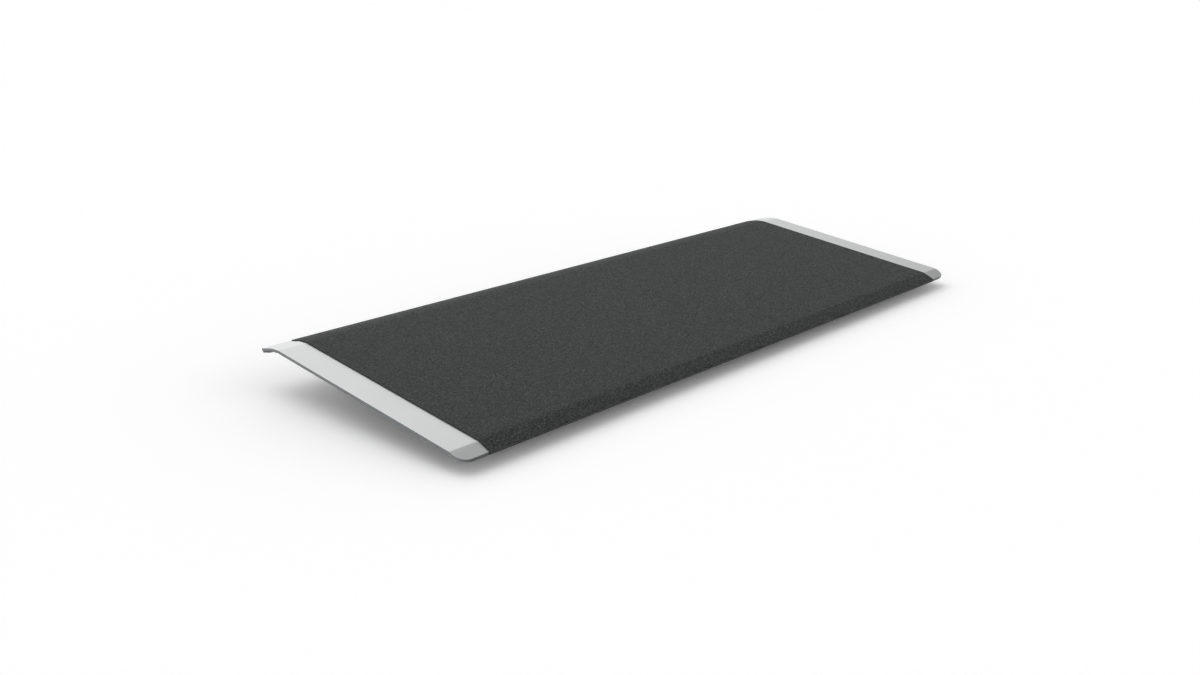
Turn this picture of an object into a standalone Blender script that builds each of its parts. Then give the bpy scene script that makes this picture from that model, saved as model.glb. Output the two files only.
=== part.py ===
"""Threshold ramp: a folded metal plate, a grip sheet glued on top and a rubber strip under each long edge.

Lengths are in metres. X runs along the ramp, Y from its floor edge to its threshold edge, and Z is up.
The ramp lies on a floor, on its two strips. The origin is on that floor, under the middle of the ramp.

Every piece is cut as a flat blank and then folded. A point of a blank has three numbers: x along the
ramp, v along the plate's top face from the floor edge, and h above that face. The fold line path says
where each v lies in the ramp's cross-section, and h is measured square to the path there.
"""
import math
from typing import NamedTuple

import bmesh
import bpy
from mathutils import Vector

# Metal plate: its panels, along the top face from the floor edge to the threshold edge
PLATE_LENGTH = 0.800
PLATE_THICKNESS = 0.003
FLOOR_BEVEL = 0.015
DECK = 0.250
LIP = 0.011
NOSE = 0.020

# Folds between the panels, with one bend radius on the top face
FLOOR_FOLD = math.radians(16.0)
LIP_FOLD = math.radians(9.0)
NOSE_FOLD = math.radians(10.0)
FOLD_RADIUS = 0.008
FOLD_STEPS = 6

# Plan corners of the plate, and its broken sharp edges
FLOOR_CORNER_RADIUS = 0.0125
NOSE_CORNER_RADIUS = 0.002
CORNER_STEPS = 12
EDGE_BREAK = 0.0004

# Grip sheet: bare margins left on the plate, and its turn over the floor edge
GRIP_THICKNESS = 0.0008
GRIP_LEFT_MARGIN = 0.0292
GRIP_RIGHT_MARGIN = 0.0316
GRIP_NOSE_MARGIN = 0.004
GRIP_WRAP_MARGIN = 0.0002
WRAP_STEPS = 6

# Rubber strips under the long edges
STRIP_THICKNESS = 0.001
STRIP_SETBACK = 0.0005
FLOOR_STRIP_WIDTH = 0.010
THRESHOLD_STRIP_WIDTH = 0.014

# Gap kept between a piece and the one that it is glued to
GLUE_GAP = 0.0003

# Faces that meet at more than this angle have a sharp edge between them
SHARP_ANGLE = math.radians(30.0)


class Station(NamedTuple):
    """A place on the fold path: v, the point in the cross-section (y, z), and the normal there."""

    v: float
    point: Vector
    normal: Vector


def direction(slope):
    """Unit vector (y, z) that climbs at the slope angle."""
    return Vector((math.cos(slope), math.sin(slope)))


def normal(slope):
    """Unit vector (y, z) that points out of a top face with the slope angle."""
    return Vector((-math.sin(slope), math.cos(slope)))


def plate_path():
    """Stations along the plate's top face, with y and z from zero at the floor edge.

    The deck is level. Each fold is an arc that touches both of its panels.
    """
    panels = (FLOOR_BEVEL, DECK, LIP, NOSE)
    folds = (FLOOR_FOLD, LIP_FOLD, NOSE_FOLD)
    setbacks = [0.0] + [FOLD_RADIUS * math.tan(fold / 2) for fold in folds] + [0.0]
    slope = FLOOR_FOLD
    path = [Station(0.0, Vector((0.0, 0.0)), normal(slope))]
    for index, panel in enumerate(panels):
        flat = panel - setbacks[index] - setbacks[index + 1]
        last = path[-1]
        path.append(Station(last.v + flat, last.point + flat * direction(slope), normal(slope)))
        if index < len(folds):
            path += fold_arc(path[-1], slope, folds[index])
            slope -= folds[index]
    return path


def fold_arc(start, slope, fold):
    """Stations along one fold, from the slope before it down to the slope after it."""
    step = fold / FOLD_STEPS
    chord = 2 * FOLD_RADIUS * math.sin(step / 2)
    stations = []
    v, point = start.v, start.point
    for index in range(FOLD_STEPS):
        v += chord
        point = point + chord * direction(slope - (index + 0.5) * step)
        stations.append(Station(v, point, normal(slope - (index + 1) * step)))
    return stations


def grip_path(plate):
    """The plate's path with a turn over the floor edge and down its cut face put in front of it.

    At the turn the point stays on the plate's corner while the normal swings round, so the
    sheet's inner and outer faces become arcs. v is counted backwards from zero there.
    """
    corner = plate[0].point
    outward = -direction(FLOOR_FOLD)
    drop = PLATE_THICKNESS - GRIP_WRAP_MARGIN
    quarter = math.pi / 2
    middle = GLUE_GAP + GRIP_THICKNESS / 2
    turn = []
    for index in range(WRAP_STEPS):
        angle = quarter * index / WRAP_STEPS
        swung = math.cos(angle) * outward + math.sin(angle) * plate[0].normal
        turn.append(Station(-middle * (quarter - angle), corner, swung))
    bottom = Station(turn[0].v - drop, corner - drop * plate[0].normal, outward)
    return [bottom] + turn + plate


def on_path(path, v):
    """Point and normal of the path at v, in a straight line between stations."""
    for before, after in zip(path, path[1:]):
        if v <= after.v:
            break
    share = (v - before.v) / (after.v - before.v)
    return before.point.lerp(after.point, share), before.normal.lerp(after.normal, share)


def corner_arc(centre, radius, start):
    """Quarter circle of outline points, from the start angle on, or its one corner if it has no radius."""
    if radius <= 0:
        return [centre]
    steps = range(CORNER_STEPS + 1)
    angles = [start + math.pi / 2 * step / CORNER_STEPS for step in steps]
    return [centre + radius * Vector((math.cos(angle), math.sin(angle))) for angle in angles]


def blank_outline(left, right, low, high, low_radius=0.0, high_radius=0.0):
    """Outline (x, v) of a rectangular blank, counter-clockwise, with rounded corners."""
    corners = (
        (left + low_radius, low + low_radius, low_radius, math.pi),
        (right - low_radius, low + low_radius, low_radius, 1.5 * math.pi),
        (right - high_radius, high - high_radius, high_radius, 0.0),
        (left + high_radius, high - high_radius, high_radius, 0.5 * math.pi),
    )
    outline = []
    for x, v, radius, start in corners:
        outline += corner_arc(Vector((x, v)), radius, start)
    return outline


def folded_sheet(name, path, outline, bottom, top):
    """A blank cut to the outline, from height bottom to height top over the path, and folded along it."""
    mesh = bmesh.new()
    mesh.faces.new([mesh.verts.new((x, v, top)) for x, v in outline])
    for station in path[1:-1]:
        everything = mesh.verts[:] + mesh.edges[:] + mesh.faces[:]
        line = (0.0, station.v, 0.0)
        bmesh.ops.bisect_plane(mesh, geom=everything, dist=1e-7, plane_co=line, plane_no=(0.0, 1.0, 0.0))
    extruded = bmesh.ops.extrude_face_region(mesh, geom=mesh.faces[:])["geom"]
    for vert in (item for item in extruded if isinstance(item, bmesh.types.BMVert)):
        vert.co.z = bottom
    for vert in mesh.verts:
        point, out = on_path(path, vert.co.y)
        y, z = point + vert.co.z * out
        vert.co = (vert.co.x, y, z)
    bmesh.ops.recalc_face_normals(mesh, faces=mesh.faces[:])
    return finished_object(name, mesh)


def finished_object(name, mesh):
    """Object made from the bmesh, shaded smooth but for its sharp edges."""
    data = bpy.data.meshes.new(name)
    mesh.to_mesh(data)
    mesh.free()
    data.shade_smooth()
    data.set_sharp_from_angle(angle=SHARP_ANGLE)
    piece = bpy.data.objects.new(name, data)
    bpy.context.collection.objects.link(piece)
    return piece


def deck_plate(path):
    """The metal plate, with rounded plan corners and its sharp edges broken all round."""
    end = PLATE_LENGTH / 2
    outline = blank_outline(-end, end, 0.0, path[-1].v, FLOOR_CORNER_RADIUS, NOSE_CORNER_RADIUS)
    plate = folded_sheet("deck_plate", path, outline, -PLATE_THICKNESS, 0.0)
    edge = plate.modifiers.new("edge_break", "BEVEL")
    edge.width = EDGE_BREAK
    edge.segments = 2
    edge.limit_method = "ANGLE"
    edge.angle_limit = SHARP_ANGLE
    return plate


def grip_sheet(plate):
    """The grip sheet, from the bottom of the floor edge to just short of the threshold edge."""
    path = grip_path(plate)
    left = GRIP_LEFT_MARGIN - PLATE_LENGTH / 2
    right = PLATE_LENGTH / 2 - GRIP_RIGHT_MARGIN
    outline = blank_outline(left, right, path[0].v, path[-1].v - GRIP_NOSE_MARGIN)
    return folded_sheet("grip_sheet", path, outline, GLUE_GAP, GLUE_GAP + GRIP_THICKNESS)


def rubber_strip(name, path, low, high, end_inset, corner_radius=0.0):
    """A strip glued under the plate between v = low and v = high, its ends set in from the plate's."""
    end = PLATE_LENGTH / 2 - end_inset
    outline = blank_outline(-end, end, low, high, high_radius=corner_radius)
    top = -PLATE_THICKNESS - GLUE_GAP
    return folded_sheet(name, path, outline, top - STRIP_THICKNESS, top)


def floor_strip(path):
    """The strip under the floor bevel, which stops where the plate's corners start to round."""
    low = STRIP_SETBACK
    return rubber_strip("floor_strip", path, low, low + FLOOR_STRIP_WIDTH, FLOOR_CORNER_RADIUS)


def threshold_strip(path):
    """The strip under the nose, which follows the plate's corners."""
    high = path[-1].v - STRIP_SETBACK
    radius = max(NOSE_CORNER_RADIUS - STRIP_SETBACK, 0.0)
    return rubber_strip("threshold_strip", path, high - THRESHOLD_STRIP_WIDTH, high, STRIP_SETBACK, radius)


def material(name, colour, roughness, metallic):
    """Principled material in one colour."""
    made = bpy.data.materials.new(name)
    made.use_nodes = True
    shader = made.node_tree.nodes["Principled BSDF"]
    shader.inputs["Base Color"].default_value = (*colour, 1.0)
    shader.inputs["Roughness"].default_value = roughness
    shader.inputs["Metallic"].default_value = metallic
    return made


def satin_aluminium():
    """Unpolished sheet metal of the plate."""
    return material("satin_aluminium", (0.66, 0.67, 0.665), roughness=0.42, metallic=1.0)


def black_grit():
    """Coarse black grit of the grip sheet."""
    return material("black_grit", (0.058, 0.061, 0.059), roughness=0.95, metallic=0.0)


def dark_rubber():
    """Matt rubber of both strips."""
    return material("dark_rubber", (0.045, 0.047, 0.047), roughness=0.8, metallic=0.0)


def foot(strip):
    """The point (y, z) of a strip that is lowest over the floor."""
    return min(((vert.co.y, vert.co.z) for vert in strip.data.vertices), key=lambda point: point[1])


def lay_on_floor(pieces, floor_foot, threshold_foot):
    """Parent the pieces to one empty, turned and moved so that both feet touch the floor.

    The empty is then shifted until the box round the pieces stands over the origin.
    """
    holder = bpy.data.objects.new("ramp", None)
    bpy.context.collection.objects.link(holder)
    for piece in pieces:
        piece.parent = holder
    rise = threshold_foot[1] - floor_foot[1]
    run = threshold_foot[0] - floor_foot[0]
    holder.rotation_euler.x = -math.atan2(rise, run)
    bpy.context.view_layer.update()
    graph = bpy.context.evaluated_depsgraph_get()
    shapes = [piece.evaluated_get(graph) for piece in pieces]
    points = [shape.matrix_world @ vert.co for shape in shapes for vert in shape.data.vertices]
    across = [point.y for point in points]
    holder.location.y = -(min(across) + max(across)) / 2
    holder.location.z = -min(point.z for point in points)
    bpy.context.view_layer.update()


def main():
    """Clear the scene and build the ramp."""
    for old in list(bpy.data.objects):
        bpy.data.objects.remove(old, do_unlink=True)
    path = plate_path()
    plate = deck_plate(path)
    sheet = grip_sheet(path)
    under_bevel = floor_strip(path)
    under_nose = threshold_strip(path)
    plate.data.materials.append(satin_aluminium())
    sheet.data.materials.append(black_grit())
    rubber = dark_rubber()
    under_bevel.data.materials.append(rubber)
    under_nose.data.materials.append(rubber)
    lay_on_floor([plate, sheet, under_bevel, under_nose], foot(under_bevel), foot(under_nose))


main()
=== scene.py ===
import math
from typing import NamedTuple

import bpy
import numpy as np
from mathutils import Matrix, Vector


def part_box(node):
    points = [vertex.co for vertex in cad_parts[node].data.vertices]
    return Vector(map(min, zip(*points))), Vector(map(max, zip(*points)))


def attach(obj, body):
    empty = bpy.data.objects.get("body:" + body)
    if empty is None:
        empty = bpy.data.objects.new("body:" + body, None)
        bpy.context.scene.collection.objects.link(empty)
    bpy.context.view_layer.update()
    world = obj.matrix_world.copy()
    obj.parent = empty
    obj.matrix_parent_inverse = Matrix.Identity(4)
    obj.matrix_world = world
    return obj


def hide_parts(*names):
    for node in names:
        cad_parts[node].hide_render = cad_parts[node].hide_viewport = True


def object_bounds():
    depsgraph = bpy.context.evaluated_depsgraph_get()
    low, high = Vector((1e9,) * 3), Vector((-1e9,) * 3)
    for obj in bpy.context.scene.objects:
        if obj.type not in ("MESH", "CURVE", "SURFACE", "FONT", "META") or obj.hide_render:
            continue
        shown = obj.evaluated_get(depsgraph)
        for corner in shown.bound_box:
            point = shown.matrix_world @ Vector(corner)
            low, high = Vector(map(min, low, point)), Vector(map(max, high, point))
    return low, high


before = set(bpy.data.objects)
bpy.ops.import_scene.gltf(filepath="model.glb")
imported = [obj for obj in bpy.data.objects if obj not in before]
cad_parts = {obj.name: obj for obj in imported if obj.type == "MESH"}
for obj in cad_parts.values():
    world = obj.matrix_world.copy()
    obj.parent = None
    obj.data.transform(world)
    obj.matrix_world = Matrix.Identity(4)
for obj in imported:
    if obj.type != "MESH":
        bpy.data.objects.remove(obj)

# Looks of the threshold ramp: a folded metal plate with a black grit sheet on top and a rubber strip under
# each long edge. Lengths are in metres. X runs along the ramp, Y from its floor edge to its threshold edge.
#
# Every piece is cut from a flat blank and folded along the same path. A point of a blank has x along the
# ramp, v along the plate's top face from the floor edge, and h above that face, square to it.

CAD_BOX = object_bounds()

# Metal plate: panels from the floor edge to the threshold edge, and the folds between them
PANELS = (0.015, 0.250, 0.011, 0.020)
FOLDS = tuple(math.radians(angle) for angle in (16.0, 9.0, 10.0))
FOLD_RADIUS = 0.008
PLATE_LENGTH = 0.800
PLATE_THICKNESS = 0.003
FLOOR_CORNER_RADIUS = 0.0125
NOSE_CORNER_RADIUS = 0.002
EDGE_BREAK = 0.0002

# Grip sheet: bare margins on the plate and on its cut floor edge, the height of the sheet's face over the
# plate, and how far its edges and corners are rounded
GRIP_LEFT_MARGIN = 0.0310
GRIP_RIGHT_MARGIN = 0.0316
GRIP_NOSE_MARGIN = 0.004
GRIP_WRAP_MARGIN = 0.0002
GRIP_TOP = 0.00104
GRIP_SHOULDER = 0.0003
GRIP_CORNER_RADIUS = 0.0006

# Uneven grit: how far its points move along x and v, in shares of a cell, and up or down, in metres
GRIT_SHIFT_X = 0.3
GRIT_SHIFT_V = 0.12
GRIT_RELIEF = 0.00003
GRIT_SEED = 7

# Rubber strips, measured down from the plate's underside. The top gap is the one that the solids keep
STRIP_DEPTH = 0.0013
STRIP_TOP_GAP = 0.0003
STRIP_SETBACK = 0.0005
STRIP_SHOULDER = 0.00025
FLOOR_STRIP_WIDTH = 0.010
THRESHOLD_STRIP_WIDTH = 0.014

# Distance kept between the faces of two pieces that are glued together
CONTACT_GAP = 0.00002

# How finely the surfaces are divided: widest steps, the step next to an end, and steps in a fold or a corner
PLATE_CELL = 0.012
STRIP_CELL = 0.0025
GRIT_CELL = 0.0018
END_STEP = 0.0003
FINE_FOLD_ROWS = 12
GRIT_FOLD_ROWS = 6
FINE_CORNER_ROWS = 12
SMALL_CORNER_ROWS = 4
ROUNDING_STEPS = 4
PATH_SAMPLES = 6000

# Slopes closer than this are the same, and so are rows that agree to this many decimals
SAME_SLOPE = 1e-6
ROW_DECIMALS = 9

# The photo's floor. It slopes away under the ramp, whose threshold edge is lifted as if on a threshold, and
# it lies a little below the floor strip's foot. Light bounces off its colour, and its seen colour is what
# the camera and reflections show
FLOOR_TILT = math.radians(-5.66)
FLOOR_DROP = 0.010
FLOOR_REACH = 14.0
FLOOR_COLOUR = (0.55, 0.55, 0.55)
FLOOR_SEEN_COLOUR = (1.19, 1.19, 1.19)

# The photo's camera, from the floor strip's foot: metres along and away from the ramp and over the floor
CAMERA_PLACE = (-0.9435, -0.6718, 0.3898)
CAMERA_HEADING = math.radians(46.49)
CAMERA_DIP = math.radians(18.13)
CAMERA_LENS = 35.0
CAMERA_SENSOR = 36.0
CAMERA_NEAREST = 0.01
CAMERA_FARTHEST = 100.0

# The studio's light: a white belt round the horizon, soft lights above it, and a fade to white at the horizon
BELT_STRENGTH = 0.90
BELT_HEIGHT = math.radians(3.0)
BELT_SHARPNESS = 5.0
HORIZON_FADE = math.radians(8.0)


class SoftLight(NamedTuple):
    """Round patch of the sky: degrees right of the camera's heading, degrees up, sharpness and strength."""

    turn: float
    height: float
    sharpness: float
    strength: float


LEFT_KEY = SoftLight(288.0, 55.0, 10.0, 1.81)
RIGHT_KEY = SoftLight(112.5, 27.0, 10.0, 1.20)
TOP = SoftLight(0.0, 90.0, 10.0, 0.96)
BACK_PANEL = SoftLight(337.5, 27.0, 10.0, 0.79)
BACK_SPOT = SoftLight(8.0, 25.0, 40.0, 0.57)
SOFT_LIGHTS = (LEFT_KEY, RIGHT_KEY, TOP, BACK_PANEL, BACK_SPOT)


class Path(NamedTuple):
    """Fold path in section: v along it, its slope, and its place (y, z)."""

    v: np.ndarray
    slope: np.ndarray
    y: np.ndarray
    z: np.ndarray


class Blank(NamedTuple):
    """Flat blank: its sides in x and v, its corner radii, and how finely it is divided each way."""

    left: float
    right: float
    low: float
    high: float
    low_radius: float
    high_radius: float
    columns: np.ndarray
    rows: np.ndarray
    corner_rows: int


class Sheet(NamedTuple):
    """Blank folded along a path, with the heights of its two faces and the radius of its edges."""

    path: Path
    blank: Blank
    bottom: float
    top: float
    radius: float


def plate_knots():
    """Places v where the plate's slope starts or stops turning, and the slope at each."""
    setbacks = [0.0] + [FOLD_RADIUS * math.tan(fold / 2) for fold in FOLDS] + [0.0]
    v, slope = 0.0, FOLDS[0]
    knots = [(v, slope)]
    for index, panel in enumerate(PANELS):
        v += panel - setbacks[index] - setbacks[index + 1]
        knots.append((v, slope))
        if index < len(FOLDS):
            v += FOLD_RADIUS * FOLDS[index]
            slope -= FOLDS[index]
            knots.append((v, slope))
    return knots


def grip_knots():
    """The plate's knots with a quarter turn round its broken floor edge and a run down its cut face."""
    turn = EDGE_BREAK * math.pi / 2
    run = PLATE_THICKNESS - GRIP_WRAP_MARGIN - EDGE_BREAK
    upright = FOLDS[0] + math.pi / 2
    start = EDGE_BREAK - turn
    return [(start - run, upright), (start, upright), (EDGE_BREAK, FOLDS[0])] + plate_knots()[1:]


def path_through(knots):
    """Path whose slope runs straight between knots. y and z are the running sums of its cosine and sine.

    Both are zero where the plate's floor edge is, at the slope of the first panel.
    """
    knot_v, knot_slope = np.array(knots).T
    v = np.linspace(knot_v[0], knot_v[-1], PATH_SAMPLES)
    slope = np.interp(v, knot_v, knot_slope)
    middle = (slope[1:] + slope[:-1]) / 2
    y = np.concatenate(([0.0], np.cumsum(np.diff(v) * np.cos(middle))))
    z = np.concatenate(([0.0], np.cumsum(np.diff(v) * np.sin(middle))))
    y += EDGE_BREAK * math.cos(FOLDS[0]) - np.interp(EDGE_BREAK, v, y)
    z += EDGE_BREAK * math.sin(FOLDS[0]) - np.interp(EDGE_BREAK, v, z)
    return Path(v, slope, y, z)


def fold(path, flat):
    """Folded places of flat points (x, v, h): the path's point at v, and h square to the path there."""
    x, v, h = np.moveaxis(flat, -1, 0)
    slope = np.interp(v, path.v, path.slope)
    y = np.interp(v, path.v, path.y) - h * np.sin(slope)
    z = np.interp(v, path.v, path.z) + h * np.cos(slope)
    return np.stack([x, y, z], axis=-1)


def lay_down(places):
    """Folded places turned about X until both strips' outer lower edges are level, and set on the floor."""
    path = path_through(plate_knots())
    foot = -(PLATE_THICKNESS + STRIP_DEPTH)
    floor_foot, threshold_foot, strip_top = fold(path, np.array([
        (0.0, STRIP_SETBACK, foot),
        (0.0, path.v[-1] - STRIP_SETBACK, foot),
        (0.0, STRIP_SETBACK, -(PLATE_THICKNESS + STRIP_TOP_GAP)),
    ]))
    rise, run = (threshold_foot - floor_foot)[2], (threshold_foot - floor_foot)[1]
    turn = np.array(Matrix.Rotation(-math.atan2(rise, run), 3, "X"))
    shift_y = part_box("floor_strip")[0].y - (turn @ strip_top)[1]
    shift_z = -(turn @ floor_foot)[2]
    return places @ turn.T + np.array([0.0, shift_y, shift_z])


def spread(low, high, cell):
    """Even values from low to high, no further apart than the cell."""
    return np.linspace(low, high, max(2, math.ceil((high - low) / cell) + 1))


def columns_between(left, right, cell):
    """Shares of the width from 0 to 1, even but for one more close to each end."""
    width = right - left
    inner = spread(END_STEP / width, 1 - END_STEP / width, cell / width)
    return np.concatenate(([0.0], inner, [1.0]))


def rows_between(low, high, knots, cell, fold_rows):
    """Rows from low to high: even on flat stretches, and closer where the slope turns between two knots."""
    rows = [np.array([low, high])]
    stops = [v for v, _ in knots if low < v < high]
    edges = [low] + stops + [high]
    slopes = np.interp(edges, *np.array(knots).T)
    for start, stop, before, after in zip(edges, edges[1:], slopes, slopes[1:]):
        turning = abs(before - after) > SAME_SLOPE
        step = (stop - start) / fold_rows if turning else cell
        rows.append(spread(start, stop, step))
    return np.unique(np.round(np.concatenate(rows), ROW_DECIMALS))


def blank_grid(blank, inset, height):
    """Flat points (x, v, h) of the grid over a blank whose outline is drawn in by inset, a row for each v.

    At the angle a round a corner of radius r, a row lies r - (r - inset) cos a inside the long
    edge, and starts r - (r - inset) sin a inside the short one.
    """
    angles = np.linspace(0.0, math.pi / 2, blank.corner_rows + 1)
    low_r, high_r = blank.low_radius, blank.high_radius
    low_v = blank.low + low_r - (low_r - inset) * np.cos(angles)
    low_x = low_r - (low_r - inset) * np.sin(angles)
    high_v = blank.high - high_r + (high_r - inset) * np.cos(angles[::-1])
    high_x = high_r - (high_r - inset) * np.sin(angles[::-1])
    v = np.concatenate([low_v, blank.rows[1:-1], high_v])
    side = np.concatenate([low_x, np.full(len(blank.rows) - 2, inset), high_x])
    width = blank.right - blank.left - 2 * side
    x = (blank.left + side)[:, None] + width[:, None] * blank.columns[None, :]
    return np.stack([x, np.broadcast_to(v[:, None], x.shape), np.full(x.shape, height)], axis=-1)


def distance_in(blank, flat):
    """Distance of flat points from the blank's outline, in the way of a rectangle with rounded corners.

    With q the place from the corner's centre, outwards along both sides, it is
    r - length(max(q, 0)) - min(max(q), 0).
    """
    x, v, _ = np.moveaxis(flat, -1, 0)
    across, along = (blank.left + blank.right) / 2, (blank.low + blank.high) / 2
    radius = np.where(v < along, blank.low_radius, blank.high_radius)
    q_x = np.abs(x - across) - (blank.right - blank.left) / 2 + radius
    q_v = np.abs(v - along) - (blank.high - blank.low) / 2 + radius
    outside = np.hypot(np.maximum(q_x, 0.0), np.maximum(q_v, 0.0))
    return radius - outside - np.minimum(np.maximum(q_x, q_v), 0.0)


def outline_order(row_count, column_count):
    """Indices of a grid's border, once round: first row, right side, last row back and left side back."""
    index = np.arange(row_count * column_count).reshape(row_count, column_count)
    return np.concatenate([index[0], index[1:, -1], index[-1, -2::-1], index[-2:0:-1, 0]])


def edge_rings(sheet, border):
    """Flat points of the rings down a sheet's edge: quarter circle, straight wall and quarter circle."""
    angles = np.linspace(0.0, math.pi / 2, ROUNDING_STEPS + 1)
    inset = sheet.radius * (1 - np.sin(angles))
    drop = sheet.radius * (1 - np.cos(angles))
    insets = np.concatenate([inset, inset[::-1]])[1:]
    heights = np.concatenate([sheet.top - drop, (sheet.bottom + drop)[::-1]])[1:]
    rings = [blank_grid(sheet.blank, *ring).reshape(-1, 3)[border] for ring in zip(insets, heights)]
    return np.stack(rings)


def quads_of(index):
    """Faces of a grid of indices, whose rows run to the right and follow each other away from the viewer."""
    corners = (index[:-1, :-1], index[:-1, 1:], index[1:, 1:], index[1:, :-1])
    return np.stack([corner.ravel() for corner in corners], axis=1)


def coarse_polygons(index):
    """Back faces as one polygon for each row, with the whole of the first and of the last row in theirs."""
    sides = index[:, [0, -1]]
    polygons = quads_of(sides)[1:-1, ::-1].tolist()
    polygons.append(np.concatenate([index[0, ::-1], sides[1]]).tolist())
    polygons.append(np.concatenate([sides[-2, ::-1], index[-1]]).tolist())
    return polygons


def closed_sheet(name, sheet, relief=None, coarse_back=False):
    """Body of a folded sheet: its face, the rings down its rounded edge, and its back.

    relief gives a change of the face's flat points. Attribute "rim" is 1 on the edge and 0 on both
    faces, and "edge" is the distance in from the outline.
    """
    face = blank_grid(sheet.blank, sheet.radius, sheet.top)
    rows, columns = face.shape[:2]
    border = outline_order(rows, columns)
    rings = edge_rings(sheet, border)
    back = blank_grid(sheet.blank, sheet.radius, sheet.bottom)[1:-1, 1:-1]
    if coarse_back:
        back = back[:0]
    face_index = np.arange(rows * columns).reshape(rows, columns)
    ring_index = face_index.size + np.arange(rings.shape[0] * len(border)).reshape(-1, len(border))
    wall_index = np.concatenate([face_index.ravel()[border][None], ring_index])
    wall_index = np.concatenate([wall_index, wall_index[:, :1]], axis=1)
    back_index = np.empty(rows * columns, dtype=int)
    back_index[border] = ring_index[-1]
    back_index = back_index.reshape(rows, columns)
    if coarse_back:
        back_faces = coarse_polygons(back_index)
    else:
        first = face_index.size + ring_index.size
        back_index[1:-1, 1:-1] = first + np.arange(back.size // 3).reshape(rows - 2, columns - 2)
        back_faces = quads_of(back_index)[:, ::-1].tolist()
    flat = [part.reshape(-1, 3) for part in (face, rings, back)]
    edge = np.concatenate([distance_in(sheet.blank, part) for part in flat])
    rim = np.repeat([0.0, 1.0, 0.0], [len(part) for part in flat])
    if relief is not None:
        flat[0] = flat[0] + relief(rows, columns).reshape(-1, 3)
    places = lay_down(fold(sheet.path, np.concatenate(flat)))
    faces = quads_of(face_index).tolist() + quads_of(wall_index)[:, ::-1].tolist() + back_faces
    return piece_of(name, places, faces, {"rim": rim, "edge": edge})


def piece_of(name, places, faces, attributes):
    """Smooth object with its place in its mesh and its attributes, riding on the ramp's one body."""
    mesh = bpy.data.meshes.new(name)
    mesh.from_pydata(places, [], faces)
    mesh.shade_smooth()
    for label, values in attributes.items():
        mesh.attributes.new(label, "FLOAT", "POINT").data.foreach_set("value", values.astype(np.float32))
    piece = bpy.data.objects.new(name, mesh)
    bpy.context.scene.collection.objects.link(piece)
    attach(piece, "root")
    return piece


def plate():
    """Metal plate: one sheet with rounded corners, folded three times, its sharp edges broken."""
    knots = plate_knots()
    end = PLATE_LENGTH / 2
    high = knots[-1][0]
    low_radius, high_radius = FLOOR_CORNER_RADIUS, NOSE_CORNER_RADIUS
    rows = rows_between(low_radius, high - high_radius, knots, PLATE_CELL, FINE_FOLD_ROWS)
    columns = columns_between(-end, end, PLATE_CELL)
    blank = Blank(-end, end, 0.0, high, low_radius, high_radius, columns, rows, FINE_CORNER_ROWS)
    sheet = Sheet(path_through(knots), blank, -PLATE_THICKNESS, 0.0, EDGE_BREAK)
    piece = closed_sheet("folded_plate", sheet)
    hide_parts("deck_plate")
    piece.data.materials.append(satin_aluminium())


def grit_relief(rows, columns):
    """Uneven grit: each inner point of the face moves by a random share of a cell, and up or down."""
    most = np.array([GRIT_SHIFT_X * GRIT_CELL, GRIT_SHIFT_V * GRIT_CELL, GRIT_RELIEF])
    change = np.random.default_rng(GRIT_SEED).uniform(-1.0, 1.0, (rows, columns, 3)) * most
    change[[0, 1, -2, -1]] = 0.0
    change[:, [0, 1, -2, -1]] = 0.0
    return change


def grip_sheet():
    """Grip sheet on the plate, wrapped down over its floor edge."""
    knots = grip_knots()
    left = GRIP_LEFT_MARGIN - PLATE_LENGTH / 2
    right = PLATE_LENGTH / 2 - GRIP_RIGHT_MARGIN
    low = knots[0][0]
    high = knots[-1][0] - GRIP_NOSE_MARGIN
    corner = GRIP_CORNER_RADIUS
    rows = rows_between(low + corner, high - corner, knots, GRIT_CELL, GRIT_FOLD_ROWS)
    columns = columns_between(left, right, GRIT_CELL)
    blank = Blank(left, right, low, high, corner, corner, columns, rows, SMALL_CORNER_ROWS)
    sheet = Sheet(path_through(knots), blank, CONTACT_GAP, GRIP_TOP, GRIP_SHOULDER)
    piece = closed_sheet("grit_sheet", sheet, relief=grit_relief, coarse_back=True)
    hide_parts("grip_sheet")
    piece.data.materials.append(black_grit())


def rubber_strip(name, node, span, end_inset, radii, finish):
    """Rubber strip under the plate across the span of v, with its edges slightly rounded."""
    knots = plate_knots()
    low, high = span
    low_radius, high_radius = radii
    end = PLATE_LENGTH / 2 - end_inset
    rows = rows_between(low + low_radius, high - high_radius, knots, STRIP_CELL, FINE_FOLD_ROWS)
    columns = columns_between(-end, end, PLATE_CELL)
    blank = Blank(-end, end, low, high, low_radius, high_radius, columns, rows, SMALL_CORNER_ROWS)
    top = -(PLATE_THICKNESS + CONTACT_GAP)
    bottom = -(PLATE_THICKNESS + STRIP_DEPTH)
    piece = closed_sheet(name, Sheet(path_through(knots), blank, bottom, top, STRIP_SHOULDER))
    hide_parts(node)
    piece.data.materials.append(finish)


def rubber_strips():
    """The strip under the floor bevel and the one under the nose."""
    finish = dark_rubber()
    square = 2 * STRIP_SHOULDER
    floor_span = (STRIP_SETBACK, STRIP_SETBACK + FLOOR_STRIP_WIDTH)
    rubber_strip("floor_edge_strip", "floor_strip", floor_span, FLOOR_CORNER_RADIUS, (square, square), finish)
    high = plate_knots()[-1][0] - STRIP_SETBACK
    span = (high - THRESHOLD_STRIP_WIDTH, high)
    radii = (square, NOSE_CORNER_RADIUS - STRIP_SETBACK)
    rubber_strip("threshold_edge_strip", "threshold_strip", span, STRIP_SETBACK, radii, finish)


# Materials. Colours are linear, for the darker and the lighter patches of a finish. Patches and grains are
# counted per metre, and lines per metre along X, Y and Z. Spans are metres in from the floor edge, or from
# the floor fold for the deck's painted light

NOISE_RANGE = (0.3, 0.7)

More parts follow.
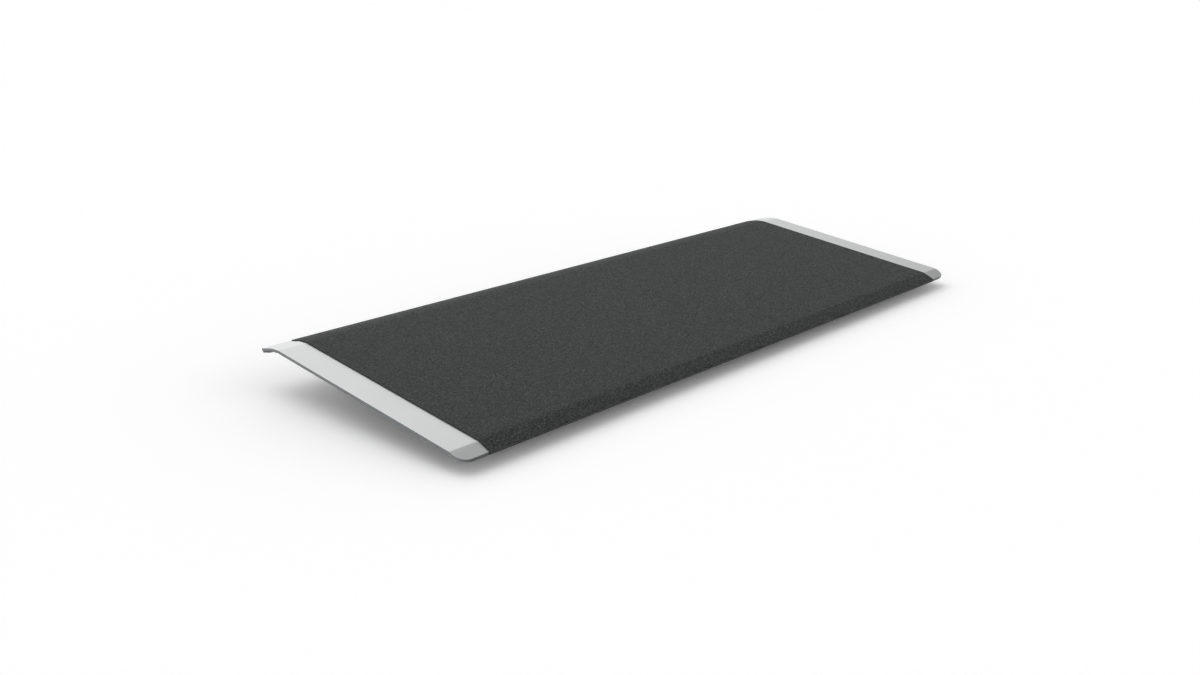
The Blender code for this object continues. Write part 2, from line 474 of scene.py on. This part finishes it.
METAL_FACE = ((0.657, 0.669, 0.664), (0.681, 0.691, 0.686))
METAL_RUBBED = (0.74, 0.745, 0.74)
# Cut faces are darker, partly for their duller sheared finish and partly as painted shade
METAL_CUT_AND_SHADE = ((0.179, 0.198, 0.200), (0.232, 0.251, 0.253))
# Painted shade on the cut face along the floor edge
METAL_CUT_PAINTED_SHADE = (0.132, 0.142, 0.142)
METAL_PATCHES = 22.0
METAL_GRAIN = (40.0, 2600.0, 2600.0)
METAL_SHEAR = (1500.0, 1500.0, 110.0)
METAL_RUB_WIDTH = 0.0016
METAL_RUB = 0.35
METAL_ROUGHNESS = (0.385, 0.455)
PATCH_ROUGHNESS = 0.03
RUBBED_ROUGHNESS = -0.05
CUT_ROUGHNESS = 0.08
# Where the painted shade on the floor edge's cut face starts to fade
PAINTED_SHADE_START = 0.001

GRIT_STONE = ((0.0125, 0.0140, 0.0133), (0.0275, 0.0308, 0.0292), (0.0705, 0.0785, 0.075))
GRIT_STONE_PLACES = (0.0, 0.6, 1.0)
# Painted light: this tone greys the deck lighter than the bevel
GRIT_DECK_PAINTED_LIGHT = (0.054, 0.058, 0.056)
# Lighter tone for wear along the outline and for painted light on the face turned over the floor edge
GRIT_WEAR_AND_PAINTED_LIGHT = (0.08, 0.08, 0.08)
GRIT_SIDE = (0.026, 0.027, 0.027)
GRIT_PATCHES = 34.0
GRIT_PATCH_SHARE = 0.04
GRIT_GRAINS = 1100.0
GRIT_LEAN = 0.4
GRIT_RUB_WIDTH = 0.0024
GRIT_RUB = 0.12
# Share of painted light on the face turned over the floor edge, against the shade there
GRIT_TURN_PAINTED_LIGHT = 0.55
GRIT_TURN_SPAN = (0.0006, 0.0018)
# Share of painted light on the deck, and where it fades in around the floor fold
GRIT_DECK_LIGHT_SHARE = 0.15
GRIT_DECK_LIGHT_SPAN = (-0.002, 0.003)
GRIT_ROUGHNESS = (0.6, 0.9)
GRIT_SPECULAR = 0.3

RUBBER_SKIN = ((0.040, 0.042, 0.042), (0.056, 0.058, 0.058))
RUBBER_SCUFFED = (0.095, 0.096, 0.095)
RUBBER_PATCHES = 90.0
RUBBER_LINES = (60.0, 3000.0, 3000.0)
RUBBER_RUB_WIDTH = 0.0012
RUBBER_RUB = 0.3
RUBBER_ROUGHNESS = (0.74, 0.86)


def add(tree, kind, **settings):
    """New node with its settings. Under inputs are values for its sockets, by name or number."""
    node = tree.nodes.new(kind)
    inputs = settings.pop("inputs", {})
    for key, value in settings.items():
        setattr(node, key, value)
    for key, value in inputs.items():
        node.inputs[key].default_value = value
    return node


def new_material(name):
    """Material with its node tree, and its Principled shader."""
    made = bpy.data.materials.new(name)
    made.use_nodes = True
    return made, made.node_tree, made.node_tree.nodes["Principled BSDF"]


def new_effect(name, inputs, outputs):
    """Node group for an effect that several materials share, with its input and output nodes."""
    group = bpy.data.node_groups.new(name, "ShaderNodeTree")
    for label, kind in inputs.items():
        group.interface.new_socket(label, in_out="INPUT", socket_type=kind)
    for label, kind in outputs.items():
        group.interface.new_socket(label, in_out="OUTPUT", socket_type=kind)
    return group, group.nodes.new("NodeGroupInput"), group.nodes.new("NodeGroupOutput")


def place_effect(tree, name, links, values):
    """Effect group placed in a material, with its linked inputs and its own values."""
    node = tree.nodes.new("ShaderNodeGroup")
    node.node_tree = bpy.data.node_groups[name]
    for label, socket in links.items():
        tree.links.new(socket, node.inputs[label])
    for label, value in values.items():
        node.inputs[label].default_value = value
    return node.outputs


def maths(tree, operation, *terms):
    """Result of a Math node over sockets and numbers."""
    node = add(tree, "ShaderNodeMath", operation=operation)
    for index, term in enumerate(terms):
        if isinstance(term, (int, float)):
            node.inputs[index].default_value = term
        else:
            tree.links.new(term, node.inputs[index])
    return node.outputs["Value"]


def tone_ramp(tree, value, places, colours):
    """Colour ramp that has each colour at its place."""
    ramp = add(tree, "ShaderNodeValToRGB")
    tree.links.new(value, ramp.inputs["Fac"])
    elements = ramp.color_ramp.elements
    while len(elements) < len(places):
        elements.new(1.0)
    for element, place, colour in zip(elements, places, colours):
        element.position = place
        element.color = (*colour, 1.0)
    return ramp.outputs["Color"]


def blend(tree, mask, under, over):
    """Mix of two colours or sockets by a mask."""
    node = add(tree, "ShaderNodeMix", data_type="RGBA")
    tree.links.new(mask, node.inputs["Factor"])
    for label, part in (("A", under), ("B", over)):
        socket = next(s for s in node.inputs if s.name == label and s.type == "RGBA")
        if isinstance(part, tuple):
            socket.default_value = (*part, 1.0)
        else:
            tree.links.new(part, socket)
    return next(s for s in node.outputs if s.type == "RGBA")


def map_value(tree, value, low, high, to_low, to_high):
    """Value carried from one range to another, held at its ends."""
    node = add(tree, "ShaderNodeMapRange", inputs={1: low, 2: high, 3: to_low, 4: to_high})
    tree.links.new(value, node.inputs["Value"])
    return node.outputs["Result"]


def bump(tree, shader, height, strength, distance):
    """Bump node from a height socket to the shader's normal."""
    node = add(tree, "ShaderNodeBump", inputs={"Strength": strength, "Distance": distance})
    tree.links.new(height, node.inputs["Height"])
    tree.links.new(node.outputs["Normal"], shader.inputs["Normal"])
    return node


def attribute(tree, name):
    """Value of one of the pieces' own attributes."""
    return add(tree, "ShaderNodeAttribute", attribute_name=name).outputs["Fac"]


def object_place(tree):
    """Place in the ramp's own frame."""
    return add(tree, "ShaderNodeTexCoord").outputs["Object"]


def way_in(tree, place):
    """Y of a place, which grows from the floor edge to the threshold edge."""
    parts = add(tree, "ShaderNodeSeparateXYZ")
    tree.links.new(place, parts.inputs["Vector"])
    return parts.outputs["Y"]


def fine_lines(tree, place, stretch):
    """Fine lines effect in a material."""
    return place_effect(tree, "fine_lines", {"Place": place}, {"Stretch": stretch})["Lines"]


def clouds(tree, place, scale):
    """Clouds effect in a material."""
    return place_effect(tree, "clouds", {"Place": place}, {"Scale": scale})["Clouds"]


def edge_rub(tree, place, width):
    """Edge rub effect in a material, from the piece's own distance from its outline."""
    links = {"Place": place, "Edge": attribute(tree, "edge")}
    return place_effect(tree, "edge_rub", links, {"Width": width})["Rub"]


def fine_lines_effect():
    """Fine parallel lines: noise on places stretched by Stretch, so that they run along its smallest part."""
    inputs = {"Place": "NodeSocketVector", "Stretch": "NodeSocketVector"}
    group, given, result = new_effect("fine_lines", inputs, {"Lines": "NodeSocketFloat"})
    scaled = add(group, "ShaderNodeVectorMath", operation="MULTIPLY")
    group.links.new(given.outputs["Place"], scaled.inputs[0])
    group.links.new(given.outputs["Stretch"], scaled.inputs[1])
    noise = add(group, "ShaderNodeTexNoise", inputs={"Scale": 1.0, "Detail": 3.0, "Roughness": 0.6})
    group.links.new(scaled.outputs["Vector"], noise.inputs["Vector"])
    group.links.new(noise.outputs["Fac"], result.inputs["Lines"])


def clouds_effect():
    """Soft uneven patches with finer ones in them, around one half."""
    inputs = {"Place": "NodeSocketVector", "Scale": "NodeSocketFloat"}
    group, given, result = new_effect("clouds", inputs, {"Clouds": "NodeSocketFloat"})
    noise = add(group, "ShaderNodeTexNoise", inputs={"Detail": 5.0, "Roughness": 0.62, "Distortion": 0.3})
    group.links.new(given.outputs["Place"], noise.inputs["Vector"])
    group.links.new(given.outputs["Scale"], noise.inputs["Scale"])
    group.links.new(noise.outputs["Fac"], result.inputs["Clouds"])


def edge_rub_effect():
    """Rubbed edge: 1 at the outline, fading out over a width that small patches make uneven."""
    inputs = {"Place": "NodeSocketVector", "Edge": "NodeSocketFloat", "Width": "NodeSocketFloat"}
    group, given, result = new_effect("edge_rub", inputs, {"Rub": "NodeSocketFloat"})
    noise = add(group, "ShaderNodeTexNoise", inputs={"Scale": 160.0, "Detail": 4.0, "Roughness": 0.7})
    group.links.new(given.outputs["Place"], noise.inputs["Vector"])
    uneven = map_value(group, noise.outputs["Fac"], *NOISE_RANGE, 0.2, 1.0)
    width = maths(group, "MULTIPLY", given.outputs["Width"], uneven)
    share = maths(group, "DIVIDE", given.outputs["Edge"], width)
    group.links.new(map_value(group, share, 0.0, 1.0, 1.0, 0.0), result.inputs["Rub"])


def floor_edge_painted_shade(tree, place):
    """Painted shade on the cut face that meets the floor: 1 at the floor edge, and gone within the round
    corners.
    """
    low = CAD_BOX[0].y
    return map_value(tree, way_in(tree, place), low + PAINTED_SHADE_START, low + FLOOR_CORNER_RADIUS / 2, 1.0, 0.0)


def satin_aluminium():
    """Light satin sheet: rolling grain along the ramp, soft patches, rubbed edges, and cut faces darkened
    partly for their duller finish and partly as painted shade, with more painted shade at the floor edge.
    """
    made, tree, shader = new_material("satin_aluminium")
    place = object_place(tree)
    rim = attribute(tree, "rim")
    grain = fine_lines(tree, place, METAL_GRAIN)
    shear = fine_lines(tree, place, METAL_SHEAR)
    patches = clouds(tree, place, METAL_PATCHES)
    rub = edge_rub(tree, place, METAL_RUB_WIDTH)
    face = tone_ramp(tree, patches, NOISE_RANGE, METAL_FACE)
    bright = blend(tree, maths(tree, "MULTIPLY", rub, METAL_RUB), face, METAL_RUBBED)
    # Cut faces: partly their duller sheared finish, partly painted shade
    cut = tone_ramp(tree, shear, NOISE_RANGE, METAL_CUT_AND_SHADE)
    # Painted shade on the cut face along the floor edge
    cut_with_painted_shade = blend(tree, floor_edge_painted_shade(tree, place), cut, METAL_CUT_PAINTED_SHADE)
    tree.links.new(blend(tree, rim, bright, cut_with_painted_shade), shader.inputs["Base Color"])
    shader.inputs["Metallic"].default_value = 1.0
    satin = map_value(tree, grain, *NOISE_RANGE, *METAL_ROUGHNESS)
    rough = maths(tree, "ADD", satin, maths(tree, "MULTIPLY", patches, PATCH_ROUGHNESS))
    smooth = maths(tree, "MULTIPLY_ADD", rub, RUBBED_ROUGHNESS, rough)
    tree.links.new(maths(tree, "MULTIPLY_ADD", rim, CUT_ROUGHNESS, smooth), shader.inputs["Roughness"])
    height = maths(tree, "MULTIPLY_ADD", rim, maths(tree, "SUBTRACT", shear, grain), grain)
    bump(tree, shader, height, strength=0.15, distance=0.0001)
    return made


def leaning(tree, lean, amount):
    """Normal of grains that lean their own way: the surface's normal plus amount times (lean - 0.5)."""
    shifted = add(tree, "ShaderNodeVectorMath", operation="SUBTRACT", inputs={1: (0.5, 0.5, 0.5)})
    tree.links.new(lean, shifted.inputs[0])
    tilted = add(tree, "ShaderNodeVectorMath", operation="MULTIPLY_ADD", inputs={1: (amount, amount, amount)})
    tree.links.new(shifted.outputs["Vector"], tilted.inputs[0])
    tree.links.new(add(tree, "ShaderNodeNewGeometry").outputs["Normal"], tilted.inputs[2])
    unit = add(tree, "ShaderNodeVectorMath", operation="NORMALIZE")
    tree.links.new(tilted.outputs["Vector"], unit.inputs[0])
    return unit.outputs["Vector"]


def black_grit():
    """Black mineral grit: grains under 1 mm, each with its own shade and lean, with painted light that greys
    the deck lighter than the bevel.

    It is worn light along its outline. The face turned over the floor edge has painted light in place of the
    shade there, and its cut sides are dark.
    """
    made, tree, shader = new_material("black_grit")
    place = object_place(tree)
    grains = add(tree, "ShaderNodeTexVoronoi", inputs={"Scale": GRIT_GRAINS})
    tree.links.new(place, grains.inputs["Vector"])
    shade = add(tree, "ShaderNodeSeparateColor")
    tree.links.new(grains.outputs["Color"], shade.inputs["Color"])
    patches = clouds(tree, place, GRIT_PATCHES)
    rub = edge_rub(tree, place, GRIT_RUB_WIDTH)
    centred = maths(tree, "ADD", shade.outputs["Red"], -GRIT_PATCH_SHARE / 2)
    pick = maths(tree, "MULTIPLY_ADD", patches, GRIT_PATCH_SHARE, centred)
    stone = tone_ramp(tree, pick, GRIT_STONE_PLACES, GRIT_STONE)
    way = way_in(tree, place)
    low = CAD_BOX[0].y
    # Painted light: the deck is made lighter than the bevel
    deck_light_start, deck_light_stop = (low + PANELS[0] + step for step in GRIT_DECK_LIGHT_SPAN)
    deck = map_value(tree, way, deck_light_start, deck_light_stop, 0.0, 1.0)
    deck_lit = blend(tree, maths(tree, "MULTIPLY", deck, GRIT_DECK_LIGHT_SHARE), stone, GRIT_DECK_PAINTED_LIGHT)
    # Wear along the outline, and painted light on the face turned over the floor edge
    turn_start, turn_stop = (low + step for step in GRIT_TURN_SPAN)
    turned = map_value(tree, way, turn_start, turn_stop, 1.0, 0.0)
    outline_rub = maths(tree, "MULTIPLY", rub, GRIT_RUB)
    wear_and_light = maths(tree, "MAXIMUM", outline_rub, maths(tree, "MULTIPLY", turned, GRIT_TURN_PAINTED_LIGHT))
    worn_and_lit = blend(tree, wear_and_light, deck_lit, GRIT_WEAR_AND_PAINTED_LIGHT)
    side = maths(tree, "MULTIPLY", attribute(tree, "rim"), maths(tree, "SUBTRACT", 1.0, turned))
    tree.links.new(blend(tree, side, worn_and_lit, GRIT_SIDE), shader.inputs["Base Color"])
    rough = map_value(tree, shade.outputs["Green"], 0.0, 1.0, *GRIT_ROUGHNESS)
    tree.links.new(rough, shader.inputs["Roughness"])
    shader.inputs["Specular IOR Level"].default_value = GRIT_SPECULAR
    peak = maths(tree, "MULTIPLY", grains.outputs["Distance"], -1.0)
    uneven = bump(tree, shader, peak, strength=0.7, distance=0.00025)
    tree.links.new(leaning(tree, grains.outputs["Color"], GRIT_LEAN), uneven.inputs["Normal"])
    return made


def dark_rubber():
    """Matt dark rubber: extrusion lines along the strip, soft patches and scuffed edges."""
    made, tree, shader = new_material("dark_rubber")
    place = object_place(tree)
    lines = fine_lines(tree, place, RUBBER_LINES)
    patches = clouds(tree, place, RUBBER_PATCHES)
    rub = edge_rub(tree, place, RUBBER_RUB_WIDTH)
    skin = tone_ramp(tree, patches, NOISE_RANGE, RUBBER_SKIN)
    scuffed = blend(tree, maths(tree, "MULTIPLY", rub, RUBBER_RUB), skin, RUBBER_SCUFFED)
    tree.links.new(scuffed, shader.inputs["Base Color"])
    rough = map_value(tree, patches, *NOISE_RANGE, *RUBBER_ROUGHNESS)
    tree.links.new(rough, shader.inputs["Roughness"])
    bump(tree, shader, lines, strength=0.3, distance=0.0001)
    return made


# Floor, light and camera


def photo_level():
    """Turn and move from the photo's level frame, whose origin is the floor strip's foot, to the ramp's."""
    low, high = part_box("floor_strip")
    foot = Vector(((low.x + high.x) / 2, low.y, low.z))
    return Matrix.Translation(foot) @ Matrix.Rotation(FLOOR_TILT, 4, "X")


def seen_by_eye(tree):
    """1 where the floor is seen, straight or in a reflection, and 0 where its light falls on other things."""
    ray = add(tree, "ShaderNodeLightPath").outputs
    either = maths(tree, "MAXIMUM", ray["Is Camera Ray"], ray["Is Glossy Ray"])
    shown = maths(tree, "MAXIMUM", either, ray["Is Transmission Ray"])
    return maths(tree, "MULTIPLY", shown, maths(tree, "LESS_THAN", ray["Diffuse Depth"], 0.5))


def floor():
    """Pale matt floor that is seen from above only, and looks white where nothing shades it."""
    mesh = bpy.data.meshes.new("floor")
    far = FLOOR_REACH
    corners = [(x, y, -FLOOR_DROP) for x, y in ((-far, -far), (far, -far), (far, far), (-far, far))]
    mesh.from_pydata([photo_level() @ Vector(corner) for corner in corners], [], [(0, 1, 2, 3)])
    made, tree, _ = new_material("pale_floor")
    matt = add(tree, "ShaderNodeBsdfDiffuse")
    tree.links.new(blend(tree, seen_by_eye(tree), FLOOR_COLOUR, FLOOR_SEEN_COLOUR), matt.inputs["Color"])
    clear = add(tree, "ShaderNodeBsdfTransparent")
    side = add(tree, "ShaderNodeNewGeometry")
    mix = add(tree, "ShaderNodeMixShader")
    tree.links.new(side.outputs["Backfacing"], mix.inputs["Fac"])
    tree.links.new(matt.outputs["BSDF"], mix.inputs[1])
    tree.links.new(clear.outputs["BSDF"], mix.inputs[2])
    tree.links.new(mix.outputs["Shader"], tree.nodes["Material Output"].inputs["Surface"])
    mesh.materials.append(made)
    plane = bpy.data.objects.new("floor", mesh)
    bpy.context.scene.collection.objects.link(plane)


def toward(turn, height):
    """Direction in the ramp's frame, from degrees to the right of the camera's heading and degrees up."""
    heading = CAMERA_HEADING + math.radians(turn)
    up = math.radians(height)
    level = Vector((math.sin(heading) * math.cos(up), math.cos(heading) * math.cos(up), math.sin(up)))
    return photo_level().to_3x3() @ level


def cosine_to(tree, direction, axis):
    """Cosine between the direction that a ray comes from and an axis."""
    node = add(tree, "ShaderNodeVectorMath", operation="DOT_PRODUCT", inputs={1: axis})
    tree.links.new(direction, node.inputs[0])
    return node.outputs["Value"]


def studio():
    """World of soft white light.

    The belt is exp(-k (sin height - sin belt height)^2) strong and a light exp(k (cos angle - 1)), where k
    is its sharpness, each times its own strength. Towards the horizon all of it fades to the white of the
    floor, so that no line shows where the floor ends.
    """
    world = bpy.data.worlds.new("studio")
    bpy.context.scene.world = world
    world.use_nodes = True
    tree = world.node_tree
    direction = add(tree, "ShaderNodeTexCoord").outputs["Generated"]
    rise = cosine_to(tree, direction, toward(0, 90))
    off_belt = maths(tree, "ADD", rise, -math.sin(BELT_HEIGHT))
    fall = maths(tree, "MULTIPLY", maths(tree, "POWER", off_belt, 2.0), -BELT_SHARPNESS)
    total = maths(tree, "MULTIPLY", maths(tree, "EXPONENT", fall), BELT_STRENGTH)
    for light in SOFT_LIGHTS:
        cosine = cosine_to(tree, direction, toward(light.turn, light.height))
        fall = maths(tree, "MULTIPLY_ADD", cosine, light.sharpness, -light.sharpness)
        total = maths(tree, "MULTIPLY_ADD", maths(tree, "EXPONENT", fall), light.strength, total)
    low = map_value(tree, rise, 0.0, math.sin(HORIZON_FADE), 1.0, 0.0)
    total = maths(tree, "MULTIPLY_ADD", low, maths(tree, "SUBTRACT", 1.0, total), total)
    background = tree.nodes["Background"]
    background.inputs["Color"].default_value = (1.0, 1.0, 1.0, 1.0)
    tree.links.new(total, background.inputs["Strength"])


def camera():
    """The photo's camera, level over its floor."""
    data = bpy.data.cameras.new("camera")
    data.lens = CAMERA_LENS
    data.sensor_width = CAMERA_SENSOR
    data.clip_start = CAMERA_NEAREST
    data.clip_end = CAMERA_FARTHEST
    eye = bpy.data.objects.new("camera", data)
    bpy.context.scene.collection.objects.link(eye)
    aim = Matrix.Rotation(-CAMERA_HEADING, 4, "Z") @ Matrix.Rotation(math.pi / 2 - CAMERA_DIP, 4, "X")
    eye.matrix_world = photo_level() @ Matrix.Translation(CAMERA_PLACE) @ aim
    bpy.context.scene.camera = eye


fine_lines_effect()
clouds_effect()
edge_rub_effect()
plate()
grip_sheet()
rubber_strips()
floor()
studio()
camera()
bpy.context.scene.view_settings.view_transform = "Standard"
